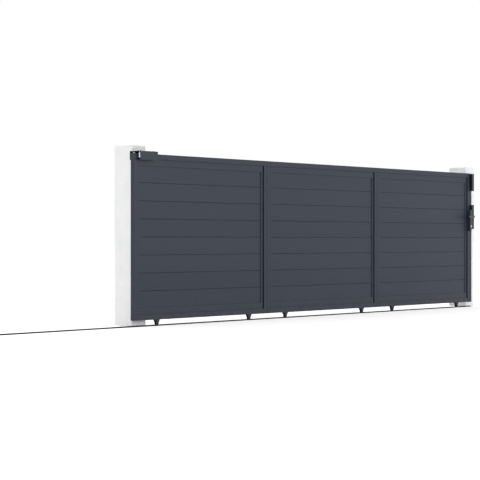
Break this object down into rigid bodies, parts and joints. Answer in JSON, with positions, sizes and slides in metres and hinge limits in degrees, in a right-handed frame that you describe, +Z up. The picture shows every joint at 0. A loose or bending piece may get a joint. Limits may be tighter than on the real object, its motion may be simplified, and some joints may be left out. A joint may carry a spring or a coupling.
{
  "type": "sliding driveway gate",
  "caption": "Straight-topped sliding driveway gate: a boarded metal leaf on grooved wheels runs along a ground rail between rendered pillars, with a roller guide, receiver and lever lock",
  "frame": {"origin": "centre of the left pillar's base face, at ground level", "axes": "+X along the leaf towards the closing side, +Y to the back of the gate, +Z up"},
  "size_m": [8.456, 0.332, 1.31],
  "materials": {
    "masonry_render": "fine grained off-white render",
    "track_steel": "dark painted steel, polished along the running crown",
    "frame_coat": "satin anthracite powder coat",
    "board_coat": "satin anthracite powder coat",
    "bracket_coat": "dark satin powder coat on folded steel",
    "buffer_rubber": "matt black rubber",
    "roller_nylon": "white nylon",
    "carrier_steel": "black coated steel",
    "wheel_polymer": "dark grey moulded nylon",
    "cap_plastic": "anthracite moulded plastic",
    "lock_plate_coat": "black satin coated plate",
    "cylinder_nickel": "satin nickel plate",
    "lever_satin": "satin anodised aluminium"
  },
  "bodies": {
    "site": {"left_pillar": "masonry_render", "right_pillar": "masonry_render", "ground_rail_left": "track_steel", "ground_rail_middle": "track_steel", "ground_rail_right": "track_steel", "rail_end_stop": "bracket_coat", "stop_buffer": "buffer_rubber", "guide_bracket": "bracket_coat", "upper_receiver": "bracket_coat", "lock_keeper": "bracket_coat"},
    "leaf": {"left_module_top_rail": "frame_coat", "left_module_bottom_rail": "frame_coat", "left_module_left_stile": "frame_coat", "left_module_right_stile": "frame_coat", "middle_module_top_rail": "frame_coat", "middle_module_bottom_rail": "frame_coat", "middle_module_left_stile": "frame_coat", "middle_module_right_stile": "frame_coat", "right_module_top_rail": "frame_coat", "right_module_bottom_rail": "frame_coat", "right_module_left_stile": "frame_coat", "right_module_right_stile": "frame_coat", "left_module_boards": "board_coat", "middle_module_boards": "board_coat", "right_module_boards": "board_coat", "wheel_carrier_1": "carrier_steel", "wheel_carrier_2": "carrier_steel", "wheel_carrier_3": "carrier_steel", "wheel_carrier_4": "carrier_steel", "wheel_carrier_5": "carrier_steel", "wheel_carrier_6": "carrier_steel", "closing_profile": "frame_coat", "leaf_end_caps": "cap_plastic", "lock_front_plate": "lock_plate_coat", "lock_back_plate": "lock_plate_coat", "front_lock_cylinder": "cylinder_nickel", "back_lock_cylinder": "cylinder_nickel"},
    "track_wheel_1": {"track_wheel_1": "wheel_polymer"},
    "track_wheel_2": {"track_wheel_2": "wheel_polymer"},
    "track_wheel_3": {"track_wheel_3": "wheel_polymer"},
    "track_wheel_4": {"track_wheel_4": "wheel_polymer"},
    "track_wheel_5": {"track_wheel_5": "wheel_polymer"},
    "track_wheel_6": {"track_wheel_6": "wheel_polymer"},
    "front_left_guide_roller": {"front_left_guide_roller": "roller_nylon"},
    "front_right_guide_roller": {"front_right_guide_roller": "roller_nylon"},
    "back_left_guide_roller": {"back_left_guide_roller": "roller_nylon"},
    "back_right_guide_roller": {"back_right_guide_roller": "roller_nylon"},
    "lever": {"lever_handle": "lever_satin"}
  },
  "joints": [
    {"name": "leaf_slide", "type": "slide", "parent": "site", "child": "leaf", "axis": [-1, 0, 0], "range_m": [0, 3.95]},
    {"name": "track_wheel_1_spin", "type": "hinge", "parent": "leaf", "child": "track_wheel_1", "pos_m": [0.127, -0.1475, 0.0183], "axis": [0, 1, 0], "continuous": true},
    {"name": "track_wheel_2_spin", "type": "hinge", "parent": "leaf", "child": "track_wheel_2", "pos_m": [1.102, -0.1475, 0.0183], "axis": [0, 1, 0], "continuous": true},
    {"name": "track_wheel_3_spin", "type": "hinge", "parent": "leaf", "child": "track_wheel_3", "pos_m": [1.527, -0.1475, 0.0183], "axis": [0, 1, 0], "continuous": true},
    {"name": "track_wheel_4_spin", "type": "hinge", "parent": "leaf", "child": "track_wheel_4", "pos_m": [2.502, -0.1475, 0.0183], "axis": [0, 1, 0], "continuous": true},
    {"name": "track_wheel_5_spin", "type": "hinge", "parent": "leaf", "child": "track_wheel_5", "pos_m": [2.927, -0.1475, 0.0183], "axis": [0, 1, 0], "continuous": true},
    {"name": "track_wheel_6_spin", "type": "hinge", "parent": "leaf", "child": "track_wheel_6", "pos_m": [3.902, -0.1475, 0.0183], "axis": [0, 1, 0], "continuous": true},
    {"name": "front_left_guide_roller_spin", "type": "hinge", "parent": "site", "child": "front_left_guide_roller", "pos_m": [-0.06, -0.179, 1.235], "axis": [0, 0, 1], "continuous": true},
    {"name": "front_right_guide_roller_spin", "type": "hinge", "parent": "site", "child": "front_right_guide_roller", "pos_m": [0.067, -0.179, 1.235], "axis": [0, 0, 1], "continuous": true},
    {"name": "back_left_guide_roller_spin", "type": "hinge", "parent": "site", "child": "back_left_guide_roller", "pos_m": [-0.06, -0.116, 1.235], "axis": [0, 0, 1], "continuous": true},
    {"name": "back_right_guide_roller_spin", "type": "hinge", "parent": "site", "child": "back_right_guide_roller", "pos_m": [0.067, -0.116, 1.235], "axis": [0, 0, 1], "continuous": true},
    {"name": "lever_turn", "type": "hinge", "parent": "leaf", "child": "lever", "pos_m": [4.079, -0.1755, 0.84], "axis": [0, -1, 0], "range_deg": [0, 40], "stiffness_Nm_per_rad": 1.5}
  ],
  "couplings": [
    {"joint": "track_wheel_1_spin", "follows": "leaf_slide", "rad_per_m": -105.26},
    {"joint": "track_wheel_2_spin", "follows": "leaf_slide", "rad_per_m": -105.26},
    {"joint": "track_wheel_3_spin", "follows": "leaf_slide", "rad_per_m": -105.26},
    {"joint": "track_wheel_4_spin", "follows": "leaf_slide", "rad_per_m": -105.26},
    {"joint": "track_wheel_5_spin", "follows": "leaf_slide", "rad_per_m": -105.26},
    {"joint": "track_wheel_6_spin", "follows": "leaf_slide", "rad_per_m": -105.26},
    {"joint": "front_left_guide_roller_spin", "follows": "leaf_slide", "rad_per_m": 90.909},
    {"joint": "front_right_guide_roller_spin", "follows": "leaf_slide", "rad_per_m": 90.909},
    {"joint": "back_left_guide_roller_spin", "follows": "leaf_slide", "rad_per_m": -90.909},
    {"joint": "back_right_guide_roller_spin", "follows": "leaf_slide", "rad_per_m": -90.909}
  ]
}
